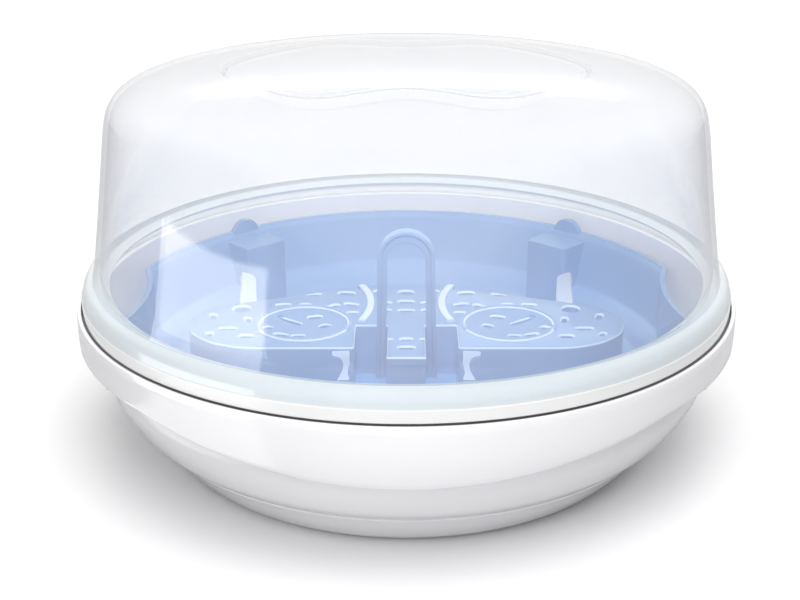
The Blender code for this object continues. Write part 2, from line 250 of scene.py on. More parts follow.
def settle(obj, material, sharp=32.0):
    """Weld, shade and dress a mesh that booleans have made."""
    shape = bmesh.new()
    shape.from_mesh(obj.data)
    bmesh.ops.remove_doubles(shape, verts=shape.verts, dist=0.004 * MM)
    bmesh.ops.dissolve_degenerate(shape, edges=shape.edges, dist=0.004 * MM)
    shape.to_mesh(obj.data)
    shape.free()
    obj.data.shade_smooth()
    obj.data.set_sharp_from_angle(angle=math.radians(sharp))
    obj.data.materials.clear()
    obj.data.materials.append(material)


# ---------------------------------------------------------------- materials

def feed(links, socket, value):
    """Link an input to another node's output, or set a number or a colour on it."""
    if isinstance(value, bpy.types.NodeSocket):
        links.new(value, socket)
    else:
        socket.default_value = value


def maths(nodes, links, operation, *values):
    node = nodes.new("ShaderNodeMath")
    node.operation = operation
    for socket, value in zip(node.inputs, values):
        feed(links, socket, value)
    return node.outputs["Value"]


def map_range(nodes, links, value, start, end, low, high, smooth=False):
    """A value that runs from low to high while the given one runs from start to end."""
    node = nodes.new("ShaderNodeMapRange")
    if smooth:
        node.interpolation_type = "SMOOTHSTEP"
    feed(links, node.inputs["Value"], value)
    limits = {"From Min": start, "From Max": end, "To Min": low, "To Max": high}
    for word, limit in limits.items():
        node.inputs[word].default_value = limit
    return node.outputs["Result"]


def mix_colour(nodes, links, factor, first, second):
    """A colour that goes from first to second; each is a linked output or three numbers."""
    mix = nodes.new("ShaderNodeMix")
    mix.data_type = "RGBA"
    feed(links, mix.inputs["Factor"], factor)
    for word, colour in (("A", first), ("B", second)):
        if isinstance(colour, tuple):
            colour = (*colour, 1.0)
        feed(links, mix.inputs[word], colour)
    return mix.outputs["Result"]


def mix_shaders(nodes, links, factor, first, second):
    mix = nodes.new("ShaderNodeMixShader")
    for socket, value in zip(mix.inputs, (factor, first, second)):
        feed(links, socket, value)
    return mix.outputs["Shader"]


def noise(nodes, links, scale, detail, low, high):
    """Object-space noise, mapped to run from low to high, and the same noise as it comes."""
    place = nodes.new("ShaderNodeTexCoord")
    texture = nodes.new("ShaderNodeTexNoise")
    texture.inputs["Scale"].default_value = scale
    texture.inputs["Detail"].default_value = detail
    links.new(place.outputs["Object"], texture.inputs["Vector"])
    raw = texture.outputs["Fac"]
    return map_range(nodes, links, raw, 0.3, 0.7, low, high), raw


def bump(nodes, links, height, strength, distance):
    """Fine relief, with its distance in millimetres."""
    node = nodes.new("ShaderNodeBump")
    node.inputs["Strength"].default_value = strength
    node.inputs["Distance"].default_value = distance * MM
    links.new(height, node.inputs["Height"])
    return node.outputs["Normal"]


def moulded(name, light, dark, rough, coat, grain=380.0):
    """Glossy moulded plastic: faint flow marks in its colour, uneven gloss and a fine orange peel."""
    material = bpy.data.materials.new(name)
    material.use_nodes = True
    nodes = material.node_tree.nodes
    links = material.node_tree.links
    nodes.clear()
    shader = nodes.new("ShaderNodeBsdfPrincipled")
    output = nodes.new("ShaderNodeOutputMaterial")
    flow, _ = noise(nodes, links, 9.0, 4.0, 0.0, 1.0)
    feed(links, shader.inputs["Base Color"], mix_colour(nodes, links, flow, light, dark))
    gloss, _ = noise(nodes, links, 38.0, 3.0, *rough)
    feed(links, shader.inputs["Roughness"], gloss)
    _, peel = noise(nodes, links, grain, 2.0, 0.0, 1.0)
    feed(links, shader.inputs["Normal"], bump(nodes, links, peel, 0.10, 0.04))
    shader.inputs["Coat Weight"].default_value = coat
    shader.inputs["Coat Roughness"].default_value = 0.06
    shader.inputs["IOR"].default_value = 1.49
    links.new(shader.outputs["BSDF"], output.inputs["Surface"])
    return material, shader, output


def grazing(nodes, links, power, amount, base):
    """base, plus a part that grows to amount where the surface is seen edge on, from either side."""
    facing = nodes.new("ShaderNodeLayerWeight")
    facing.inputs["Blend"].default_value = 0.5
    curve = maths(nodes, links, "POWER", facing.outputs["Facing"], power)
    return maths(nodes, links, "MULTIPLY_ADD", curve, amount, base)


def transparent(nodes, links, colour):
    node = nodes.new("ShaderNodeBsdfTransparent")
    feed(links, node.inputs["Color"], colour)
    return node.outputs["BSDF"]


# What the gloss on clear plastic reflects when seen straight on.
FACE_GLOSS = 0.042

# How much of its tint the clear part keeps when seen edge on.
EDGE_KEEP = 0.10


def see_through(name, light, dark, tint, clear, shine, through, edge, power=4.0, polish=0.90):
    """Translucent plastic: a tinted clear part, a cloudy part that grows edge on, and gloss.

    clear is the lowest and highest share of the clear part, shine the gloss's roughness, and edge and
    power the cloudy part's growth. Lamps reach what is behind the plastic through the colour in through.
    """
    material, shader, output = moulded(name, light, dark, (0.35, 0.5), 0.0)
    nodes = material.node_tree.nodes
    links = material.node_tree.links
    absorbed = tuple(c * EDGE_KEEP for c in tint)
    depth = grazing(nodes, links, 10.0, 1.0, 0.0)
    window = transparent(nodes, links, mix_colour(nodes, links, depth, tint, absorbed))
    cloud, _ = noise(nodes, links, 14.0, 4.0, 1.0 - clear[1], 1.0 - clear[0])
    total = maths(nodes, links, "ADD", cloud, grazing(nodes, links, power, edge, 0.0))
    total.node.use_clamp = True
    body = mix_shaders(nodes, links, total, window, shader.outputs["BSDF"])
    gloss = nodes.new("ShaderNodeBsdfGlossy")
    gloss.inputs["Color"].default_value = (0.97, 0.97, 0.97, 1.0)
    gloss.inputs["Roughness"].default_value = shine
    shown = grazing(nodes, links, 5.0, polish, FACE_GLOSS)
    polished = mix_shaders(nodes, links, shown, body, gloss.outputs["BSDF"])
    path = nodes.new("ShaderNodeLightPath")
    passing = transparent(nodes, links, (*through, 1.0))
    lit = mix_shaders(nodes, links, path.outputs["Is Shadow Ray"], polished, passing)
    links.new(lit, output.inputs["Surface"])
    return material


WHITE = moulded("white_moulded_plastic", (0.86, 0.86, 0.875), (0.83, 0.83, 0.85), (0.16, 0.24), 0.35)[0]
# Painted shade: the clips are white plastic, painted mid grey for the shade they hang in at the bowl's
# sides.
CLIP_WHITE_PAINTED_SHADE = moulded("clip_plastic_painted_shade", (0.60, 0.60, 0.62), (0.56, 0.56, 0.59), (0.26, 0.36), 0.1)[0]
# Painted shade: a dark grey for the groove under the lid's foot, which is seen only through the gap at the
# seam.
GROOVE_PAINTED_SHADE = moulded("groove_painted_shade", (0.27, 0.27, 0.275), (0.23, 0.23, 0.235), (0.5, 0.6), 0.0)[0]
BLUE = see_through(
    "blue_translucent_plastic", light=(0.255, 0.415, 0.655), dark=(0.220, 0.380, 0.620),
    tint=(0.56, 0.74, 0.93), clear=(0.28, 0.38), shine=0.16, through=(0.86, 0.92, 0.97), edge=0.30)
# Painted highlight: a paler blue for the tray's thin raised edges and chamfers, standing in for the glints
# along them.
BLUE_PAINTED_HIGHLIGHT = see_through(
    "blue_plastic_painted_highlight", light=(0.66, 0.79, 0.93), dark=(0.60, 0.74, 0.90),
    tint=(0.80, 0.88, 0.97), clear=(0.22, 0.32), shine=0.16, through=(0.86, 0.92, 0.97), edge=0.30)
# Painted shade: a darker blue for the deck's flat top, standing in for the weaker top light under the lid.
BLUE_DECK_PAINTED_SHADE = see_through(
    "blue_deck_painted_shade", light=(0.19, 0.33, 0.55), dark=(0.16, 0.30, 0.52), tint=(0.52, 0.70, 0.90),
    clear=(0.22, 0.32), shine=0.22, through=(0.86, 0.92, 0.97), edge=0.30, polish=0.10)
CLEAR = see_through(
    "clear_frosted_plastic", light=(0.93, 0.93, 0.94), dark=(0.90, 0.90, 0.92), tint=(0.985, 0.985, 0.99),
    clear=(0.86, 0.91), shine=0.05, through=(0.94, 0.94, 0.94), edge=0.60, power=8.0)
# Painted shade: a darker, cloudier grey for the rings along the raised panel's fold.
PANEL_FOLD_PAINTED_SHADE = see_through(
    "clear_plastic_fold_painted_shade", light=(0.62, 0.62, 0.64), dark=(0.56, 0.56, 0.58),
    tint=(0.95, 0.95, 0.95), clear=(0.62, 0.70), shine=0.05, through=(0.97, 0.97, 0.97), edge=0.75)
SHOULDER = see_through(
    "frosted_plastic_shoulder", light=(0.69, 0.74, 0.765), dark=(0.65, 0.705, 0.73),
    tint=(0.93, 0.96, 0.98), clear=(0.16, 0.24), shine=0.08, through=(0.86, 0.87, 0.88), edge=0.30)
FOOT_BAND = see_through(
    "frosted_plastic_foot_band", light=(0.86, 0.86, 0.855), dark=(0.83, 0.83, 0.825),
    tint=(0.95, 0.95, 0.95), clear=(0.06, 0.12), shine=0.08, through=(0.60, 0.60, 0.60), edge=0.20)


# ---------------------------------------------------------------- bowl

# How far the skirt's outside is in from RADIUS, at heights from the seam.
SKIRT_TAPER = [(-25.3, 3.0), (-21.5, 1.7), (-16.0, 0.5), (-10.0, 0.0), (-4.5, 0.0)]


# The floor of the groove that the lid's foot stands over.
GROOVE_FLOOR = SEAM - 2.4


def side_angle(angle):
    """Degrees away from the nearer side of the object, 0 at the sides and 90 at the front and back."""
    return math.degrees(math.atan2(abs(math.sin(angle)), abs(math.cos(angle))))


def skirt_edge(angle):
    """How far below the seam the skirt's lower edge is, round the bowl."""
    away = side_angle(angle)
    dip = max(0.0, math.cos(2.0 * (angle + math.pi / 2.0))) ** 1.3
    level = lerp(-13.5, -25.3, dip)
    cheek = smoothstep(7.4, 8.4, away) * (1.0 - smoothstep(13.0, 24.0, away))
    return level - 2.4 * cheek


def bowl_section(angle):
    """The bowl's section: its inside, the lid's groove, the skirt, the outer wall and the foot."""
    inner = rounded([
        (0.0, 3.0, 0.0), (97.0, 3.0, 6.0), (105.2, 9.0, 5.0), (108.6, 19.5, 1.2), (113.6, 19.5, 1.2),
        (119.4, 24.6, 4.0), (125.6, 33.6, 6.0), (129.0, 45.5, 6.0), (130.5, 58.0, 5.0),
        (130.5, RIM, 0.7), (RIM_RADIUS, RIM, 0.9), (RIM_RADIUS, SEAM + 0.4, 0.6), (134.6, SEAM + 0.4, 0.4),
        (134.6, GROOVE_FLOOR, 0.4), (138.35, GROOVE_FLOOR, 0.4), (138.45, SEAM, 0.2),
        (RADIUS - 0.9, SEAM + 0.2, 0.1),
    ])
    edge = skirt_edge(angle)
    skirt = [(RADIUS - 0.35, SEAM + 0.05), (RADIUS - 0.08, SEAM - 0.7)]
    for i in range(9):
        z = lerp(-3.2, edge + 0.5, i / 8)
        skirt.append((RADIUS - table(SKIRT_TAPER, z), SEAM + z))
    outer_r = RADIUS - table(SKIRT_TAPER, edge)
    skirt += [(outer_r - 0.15, SEAM + edge + 0.12), (outer_r - 0.55, SEAM + edge)]
    skirt += [(outer_r - 1.5, SEAM + edge), (outer_r - 1.9, SEAM + edge + 0.3)]
    skirt += [(RADIUS - 2.5, SEAM + edge * 0.45 - 1.0), (RADIUS - 2.6, SEAM - 4.4)]
    wall = rounded([
        (RADIUS - 2.7, SEAM - 3.7, 0.0), (RIM_RADIUS - 0.3, SEAM - 3.7, 1.0), (132.4, 56.0, 5.0),
        (131.7, 46.5, 5.0), (130.2, 38.4, 4.5), (126.9, 31.0, 4.5), (121.6, 22.8, 4.0),
        (116.2, 17.9, 0.4), (114.2, 17.4, 0.2), (114.9, 16.6, 0.4), (111.9, 13.0, 3.0), (107.2, 6.8, 4.0),
        (103.0, 2.0, 2.5), (99.5, 0.0, 0.8), (93.0, 0.0, 0.6), (92.2, 0.8, 0.3), (0.0, 0.8, 0.0),
    ])
    return inner + skirt + wall


# How far each hinge cheek's middle is from the clip's middle.
CHEEK_Y = 15.8


def side_frame(side, along=0.0):
    """Stand an (out, up) profile on the object's side, with its thickness running along Y."""
    out = 1.0 if side == "right" else -1.0
    return Matrix(((out, 0, 0, 0), (0, 0, -out, along * MM), (0, 1, 0, 0), (0, 0, 0, 1)))


def hinge_cheek(name, side, along):
    """One of the two cheeks that hold a clip's hinge."""
    nose = arc(HINGE_X, HINGE_Z, 2.1, -80.0, 60.0, 14)
    outline = [(RIM_RADIUS - 2.0, HINGE_Z - 7.0)] + nose
    outline += [(RADIUS - 1.7, SEAM - 12.0), (RIM_RADIUS - 1.5, SEAM - 12.0)]
    cheek = prism(name, outline, -1.5, 1.5, soften=0.35, material=WHITE)
    cheek.matrix_world = side_frame(side, along)
    return cheek


def make_bowl():
    bowl = turned("bowl_shell", bowl_section, WHITE, sharp=38.0)
    # Painted shade: the groove's floor and walls get the dark grey.
    bowl.data.materials.append(GROOVE_PAINTED_SHADE)
    for face in bowl.data.polygons:
        middle = face.center / MM
        reach = math.hypot(middle.x, middle.y)
        if RIM_RADIUS + 0.8 < reach < RADIUS - 1.75 and GROOVE_FLOOR - 0.2 < middle.z < SEAM + 0.3:
            face.material_index = 1
    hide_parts("base_bowl")
    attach(bowl, "base")
    for side in ("left", "right"):
        for end, word in ((-1, "front"), (1, "back")):
            cheek = hinge_cheek("hinge_cheek_" + side + "_" + word, side, end * CHEEK_Y)
            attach(cheek, "base")


# ---------------------------------------------------------------- tray

# Where the pillars and rim tabs are, in degrees round the tray.
CORNERS = (49.0, 131.0, 229.0, 311.0)

# The round dishes of the seats, and how deep they are at each distance from their middle.
SEAT_X = 45.0
SEAT_Y = -4.0
DISH_RADIUS = 20.0
DISH = [(0.0, 2.2), (9.0, 2.0), (15.0, 1.4), (19.2, 0.5), (DISH_RADIUS, 0.0)]


def about_z(degrees):
    return Matrix.Rotation(math.radians(degrees), 4, "Z")


def deck_outline(inset, steps=4):
    """The raised deck: a tongue in front, set-back bays beside it and a broad lens-shaped back."""
    right = [
        (8.2 - inset, -46.0 + inset, 1.2), (8.2 - inset, -6.0 + inset, 1.2),
        (22.0 + inset, -6.0 + inset, 1.2), (22.0 + inset, -31.0 + inset, 1.6),
        (70.0 - inset * 0.5, -31.0 + inset, 6.0), (84.0 - inset * 0.8, -25.0 + inset * 0.8, 6.0),
        (94.0 - inset, -14.0 + inset * 0.5, 6.0), (96.5 - inset, 0.0, 5.0),
        (92.0 - inset, 11.0 - inset * 0.5, 6.0), (76.0 - inset * 0.6, 21.0 - inset, 8.0),
        (54.0, 29.0 - inset, 8.0), (30.0, 38.5 - inset, 8.0),
    ]
    left = [(-x, y, size) for x, y, size in reversed(right)]
    return rounded(right + left, steps=steps, closed=True)


def tray_outside(angle):
    return rounded([
        (0.0, TRAY_RIM, 0.0), (127.0, TRAY_RIM, 0.7), (127.0, TRAY_RIM - 1.8, 0.6),
        (125.3, TRAY_RIM - 2.4, 1.0), (118.8, SEAM - 31.5, 4.0), (114.2, 32.4, 2.5), (111.4, 28.0, 2.0),
        (111.0, 19.8, 0.6), (109.0, 19.8, 0.5), (108.2, 24.5, 0.4), (0.0, 24.5, 0.0),
    ])


def tray_inside(angle):
    return rounded([
        (0.0, 75.0, 0.0), (125.2, 75.0, 0.0), (124.6, TRAY_RIM - 0.3, 0.6), (123.0, TRAY_RIM - 2.4, 1.2),
        (116.5, SEAM - 30.6, 1.2), (114.0, SEAM - 31.8, 0.9), (110.6, 32.6, 2.4), (107.4, TRAY_FLOOR, 2.4),
        (0.0, TRAY_FLOOR, 0.0),
    ])


def dish_depth(x, y):
    """How far the deck's surface is below its flat part, in the round dishes of the seats."""
    return table(DISH, math.hypot(abs(x) - SEAT_X, y - SEAT_Y))


def slot(x, y, length, turn, width=2.6):
    """A cutter for a rounded slot whose upper edge is chamfered."""
    rings = []
    for height, grow in ((-6.0, 0.0), (-0.8, 0.0), (0.05, 0.75), (6.0, 0.75)):
        half = length / 2 + grow
        radius = width / 2 + grow
        outline = arc(half - radius, 0.0, radius, -90.0, 90.0, 6)
        outline += arc(radius - half, 0.0, radius, 90.0, 270.0, 6)
        rings.append([(px, py, height) for px, py in outline])
    mesh = ring_mesh("slot", rings, True, True)
    piece = bpy.data.objects.new("slot", mesh)
    bpy.context.scene.collection.objects.link(piece)
    height = DECK - dish_depth(x, y)
    piece.matrix_world = Matrix.Translation((x * MM, y * MM, height * MM)) @ about_z(turn)
    return piece


# Slots of the deck's right half as (x, y, length, turn, width); the left half mirrors them.
MIDDLE_SLOTS = [(34.0, 7.0, 5.0), (22.0, 7.0, 3.2), (11.0, 7.0, 2.8), (-22.0, 5.0, 2.6), (-31.0, 7.0, 2.8)]
SIDE_SLOTS = [
    (8.6, 20.5, 3.4, 0.0, 2.6), (8.6, 11.5, 3.4, 0.0, 2.6), (7.0, -22.0, 1.8, 0.0, 1.8),
    (13.0, 35.0, 4.4, 0.0, 4.0), (27.8, 32.8, 7.6, 8.0, 4.0), (42.8, 31.0, 6.0, -8.0, 2.8),
    (25.0, 18.6, 6.4, 20.0, 2.8), (33.4, 16.4, 6.6, -38.0, 3.0), (24.0, 8.6, 4.6, 0.0, 2.2),
    (56.0, 18.2, 6.4, -10.0, 2.4), (46.0, 18.6, 4.4, 0.0, 2.2), (41.0, 7.6, 6.4, -15.0, 3.0),
    (51.8, 3.2, 13.0, 36.0, 2.2), (36.0, -2.4, 4.8, -30.0, 3.2), (61.0, -6.0, 5.0, -25.0, 3.0),
    (54.4, -13.0, 6.4, 15.0, 3.2), (47.0, -13.6, 5.4, -8.0, 2.4), (74.3, 13.0, 8.0, 0.0, 8.0),
    (68.8, -18.6, 6.2, 0.0, 3.2), (77.6, -10.0, 7.4, 0.0, 2.8), (84.6, -16.2, 4.0, 60.0, 2.4),
    (86.0, 4.0, 6.0, 75.0, 2.6), (70.0, 0.0, 6.0, 80.0, 2.4),
]

# The opening in a seat's front face, as (x, height from the seam).
KEYHOLE = [
    (-31.4, -19.2), (-23.4, -19.0), (-24.0, -21.0), (-22.9, -23.0), (-23.2, -26.0),
    (-25.0, -28.6), (-23.6, -33.6), (-30.0, -33.6), (-28.0, -30.0), (-26.6, -27.0), (-27.2, -24.2),
    (-28.8, -22.8), (-31.4, -22.4),
]


def deck_openings():
    """Cutters for every slot in the deck and for the keyholes in the seats' front faces."""
    made = []
    for y, length, width in MIDDLE_SLOTS:
        made.append(slot(0.0, y, length, 0.0, width))
    upright = Matrix.Rotation(math.pi / 2, 4, "X")
    for side in (-1, 1):
        for x, y, length, turn, width in SIDE_SLOTS:
            made.append(slot(side * x, y, length, side * turn, width))
        corners = [(x, z, 1.0) for x, z in KEYHOLE]
        outline = [(-side * x, z) for x, z in rounded(corners, closed=True)]
        opening = prism("keyhole", outline, -6.0, 6.0)
        opening.matrix_world = Matrix.Translation((0.0, -31.0 * MM, SEAM * MM)) @ upright
        made.append(opening)
    return made


def curved_rib(side):
    """The low curved rib between a seat and the tongue."""
    outline = arc(75.0, 17.0, 60.6, 156.0, 200.0, 22) + arc(75.0, 17.0, 57.2, 200.0, 156.0, 22)
    mirrored = [(side * x, y) for x, y in outline]
    return prism("rib", mirrored, DECK - 1.0, DECK + 1.5, soften=0.5, top_only=True)


def dish_lip(side):
    """The fine raised lip round a seat's dish."""
    def section(angle):
        outline = [(0.0, -1.0), (0.0, 0.3), (0.3, 0.6), (1.0, 0.6), (1.3, 0.3), (1.3, -1.0), (0.0, -1.0)]
        return [(DISH_RADIUS + reach, DECK + height) for reach, height in outline]
    lip = turned("lip", section, None, steps=72)
    shape = bmesh.new()
    shape.from_mesh(lip.data)
    bmesh.ops.remove_doubles(shape, verts=shape.verts, dist=0.001 * MM)
    bmesh.ops.recalc_face_normals(shape, faces=shape.faces)
    shape.to_mesh(lip.data)
    shape.free()
    lip.matrix_world = Matrix.Translation((side * SEAT_X * MM, SEAT_Y * MM, 0.0))
    return lip


def tongue_bar():
    """The raised bar along the tongue's front edge."""
    outline = [(-8.2, -46.5), (8.2, -46.5), (8.2, -44.6), (-8.2, -44.6)]
    return prism("bar", outline, DECK - 2.0, DECK + 1.8, soften=0.4)


def pillar_window(side, end):
    """A round-headed opening through a pillar, cut from front to back."""
    middle_x = side * 79.4
    half = 4.1
    outline = [(-half, TRAY_FLOOR + 0.4), (half, TRAY_FLOOR + 0.4)] + arc(0.0, 41.0, half, 0, 180, 14)
    window = prism("window", outline, 68.0, 118.0)
    window.matrix_world = Matrix(((-end, 0, 0, middle_x * MM), (0, 0, end, 0), (0, 1, 0, 0), (0, 0, 0, 1)))
    return window


def pillar(angle):
    """A pillar that stands out of the tray's wall."""
    corners = [(106.0, -11.5, 2.0), (128.0, -12.5, 0.5), (128.0, 12.5, 0.5), (106.0, 11.5, 2.0)]
    outline = rounded(corners, closed=True)
    block = prism("pillar", outline, 24.0, SEAM - 9.7, soften=1.2, segments=4, top_only=True)
    block.matrix_world = about_z(angle)
    return block


def rim_tab(angle):
    """A round tab that stands above the tray's rim."""
    tab = disc("tab", 7.8, 123.6, 126.8, soften=0.5)
    turn = about_z(angle) @ Matrix.Rotation(math.pi / 2, 4, "Y")
    tab.matrix_world = Matrix.Translation((0.0, 0.0, (TRAY_RIM - 2.7) * MM)) @ turn
    return tab


def seat_dish(side):
    """A cutter for a seat's shallow round dish."""
    def section(angle):
        floor = [(reach, DECK - depth) for reach, depth in DISH]
        return floor + [(DISH_RADIUS + 0.1, DECK + 4.0), (0.0, DECK + 4.0)]
    dish = turned("dish", section, None, steps=64)
    dish.matrix_world = Matrix.Translation((side * SEAT_X * MM, SEAT_Y * MM, 0.0))
    return dish


# The finger notches: how far out their deepest point is, their radius and the wall left round them.
NOTCH_REACH = 115.5
NOTCH_RADIUS = 109.0
NOTCH_WALL = 2.2


def carve_tray():
    """The tray in one piece, without its rim tabs."""
    tray = turned("tray", tray_outside, None, steps=192)
    hollow = turned("hollow", tray_inside, None, steps=192)
    notch_out = []
    notch_in = []
    for side in (-1, 1):
        centre = side * (NOTCH_REACH + NOTCH_RADIUS)
        notch_out.append(disc("notch_out", NOTCH_RADIUS, 15.0, 80.0, steps=240, x=centre))
        notch_in.append(disc("notch_in", NOTCH_RADIUS + NOTCH_WALL, 10.0, 85.0, steps=240, x=centre))
    apply_boolean(tray, merged("notches_out", notch_out), "DIFFERENCE")
    apply_boolean(hollow, merged("notches_in", notch_in), "DIFFERENCE")
    apply_boolean(hollow, merged("pillars", [pillar(a) for a in CORNERS]), "DIFFERENCE")
    deck = prism("deck_block", deck_outline(0.0), 15.0, DECK, soften=0.9, segments=3, top_only=True)
    apply_boolean(hollow, deck, "DIFFERENCE")
    apply_boolean(tray, hollow, "DIFFERENCE")
    apply_boolean(tray, prism("deck_hollow", deck_outline(2.2), 12.0, DECK - 2.6), "DIFFERENCE")
    apply_boolean(tray, merged("dishes", [seat_dish(-1), seat_dish(1)]), "DIFFERENCE")
    apply_boolean(tray, merged("openings", deck_openings()), "DIFFERENCE")
    windows = [pillar_window(side, end) for side in (-1, 1) for end in (-1, 1)]
    apply_boolean(tray, merged("windows", windows), "DIFFERENCE")
    apply_boolean(tray, merged("lips", [dish_lip(-1), dish_lip(1)]), "UNION")
    apply_boolean(tray, merged("ribs", [curved_rib(-1), curved_rib(1)]), "UNION")
    apply_boolean(tray, tongue_bar(), "UNION")
    return tray


def make_tray():
    tray = carve_tray()
    settle(tray, BLUE, sharp=30.0)
    tray.data.materials.append(BLUE_PAINTED_HIGHLIGHT)
    tray.data.materials.append(BLUE_DECK_PAINTED_SHADE)
    # Painted light: thin raised edges and chamfers get a paler blue as a painted highlight, except the
    # dishes' back lips, and the deck's flat top gets a darker blue as painted shade.
    for face in tray.data.polygons:
        middle = face.center / MM
        if abs(middle.x) > 100.0 or abs(middle.y) > 60.0:
            continue
        raised = middle.z > DECK + 0.05
        level = DECK - dish_depth(middle.x, middle.y)
        chamfer = abs(middle.z - level + 0.4) < 0.45 and 0.15 < face.normal.z < 0.9
        near_dish = math.hypot(abs(middle.x) - SEAT_X, middle.y - SEAT_Y) < DISH_RADIUS + 1.5
        back_lip = raised and near_dish and middle.y > SEAT_Y - 9.0
        if (raised or chamfer) and not back_lip:
            face.material_index = 1
        elif face.normal.z > 0.9 and abs(middle.z - level) < 0.3:
            # Painted shade: the deck's flat top gets the darker blue.
            face.material_index = 2
    tray.name = "tray_moulding"
    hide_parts("steam_tray")
    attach(tray, "tray")
    tabs = merged("rim_tabs", [rim_tab(angle) for angle in CORNERS])
    settle(tabs, BLUE, sharp=30.0)
    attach(tabs, "tray")


def make_hoop():
    """The upright loop: a flat band with a raised bead along its outer side."""
    half = 13.4
    crown = 12.2
    foot = TRAY_FLOOR + 0.3
    crown_z = SEAM + 27.2 - crown
    middle_y = -8.9
    path = []
    for i in range(13):
        path.append((lerp(half, crown, i / 12), lerp(foot, crown_z, i / 12), 0.0))
    for i in range(1, 48):
        turn = math.pi * i / 48
        path.append((crown * math.cos(turn), crown_z + crown * math.sin(turn), turn))
    for i in range(13):
        path.append((-lerp(crown, half, i / 12), lerp(crown_z, foot, i / 12), math.pi))
    section = rounded([
        (0.0, -2.5, 0.5), (0.0, 2.5, 0.5), (-1.5, 2.5, 0.4), (-1.9, 1.7, 0.3), (-4.2, 1.7, 0.5),
        (-4.2, -1.7, 0.5), (-1.9, -1.7, 0.3), (-1.5, -2.5, 0.4),
    ], steps=3, closed=True)
    rings = []
    for x, z, turn in path:
        thick = 1.0 + 0.28 * math.sin(turn)
        ring = []
        for inward, across in section:
            reach = inward * thick
            ring.append((x + reach * math.cos(turn), middle_y + across, z + reach * math.sin(turn)))
        rings.append(ring)
    hoop = new_object("lift_hoop_band", ring_mesh("lift_hoop_band", rings, True, True), BLUE, 40.0)
    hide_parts("lift_hoop")
    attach(hoop, "tray")


# ---------------------------------------------------------------- lid

# Heights above the seam: where the clear wall starts, and the top of the foot band.
LID_FOOT = 12.4
FOOT_BAND_TOP = 5.45

# The lid's height above the seam at each distance from its middle, and how thick its top is.
CROWN_THICKNESS = 2.0
CROWN = [(0.0, 97.0), (30.0, 96.5), (60.0, 95.2), (88.0, 93.2), (104.0, 91.4)]
CROWN_REACH = 104.0

# The raised panel: its height, the width of its sloping edge, and the rings across both.
PANEL_RISE = 1.3
PANEL_EDGE = 2.6
PANEL_STEPS = 6
PANEL_SHARES = (0.12, 0.3, 0.5, 0.7, 0.85, 0.93)


def panel_point(angle):
    """The dog-bone outline of the raised panel's foot."""
    along = 75.5 * math.cos(angle)
    waist = 1.0 - 0.265 * math.cos(math.pi * min(1.0, abs(along) / 78.0)) ** 2
    across = 68.0 * math.copysign(abs(math.sin(angle)) ** 0.8, math.sin(angle)) * waist
    return along, across


def crown_rings(drop):
    """Rings from the lid's centre out over the panel to a circle; drop lowers them for the inside."""
    rings = [[(0.0, 0.0, SEAM + CROWN[0][1] - drop + PANEL_RISE)]]
    for share in PANEL_SHARES:
        ring = []
        for i in range(STEPS):
            x, y = panel_point(math.tau * i / STEPS)
            x, y = x * share, y * share
            height = table(CROWN, math.hypot(x, y)) - drop + PANEL_RISE
            ring.append((x, y, SEAM + height))
        rings.append(ring)
    for k in range(PANEL_STEPS + 1):
        t = k / PANEL_STEPS
        ring = []
        for i in range(STEPS):
            x, y = panel_point(math.tau * i / STEPS)
            reach = math.hypot(x, y)
            scale = (reach - PANEL_EDGE * (1.0 - t)) / reach
            height = table(CROWN, reach * scale) - drop + PANEL_RISE * (1.0 - smoothstep(0.0, 1.0, t))
            ring.append((x * scale, y * scale, SEAM + height))
        rings.append(ring)
    for t in (0.15, 0.35, 0.55, 0.75, 1.0):
        ring = []
        for i in range(STEPS):
            angle = math.tau * i / STEPS
            x, y = panel_point(angle)
            x = lerp(x, CROWN_REACH * math.cos(angle), t)
            y = lerp(y, CROWN_REACH * math.sin(angle), t)
            ring.append((x, y, SEAM + table(CROWN, math.hypot(x, y)) - drop))
        rings.append(ring)
    return rings


def lathe_rings(profile):
    """Level rings for each (radius, height above the seam)."""
    rings = []
    for r, z in profile:
        ring = []
        for i in range(STEPS):
            angle = math.tau * i / STEPS
            ring.append((r * math.cos(angle), r * math.sin(angle), SEAM + z))
        rings.append(ring)
    return rings


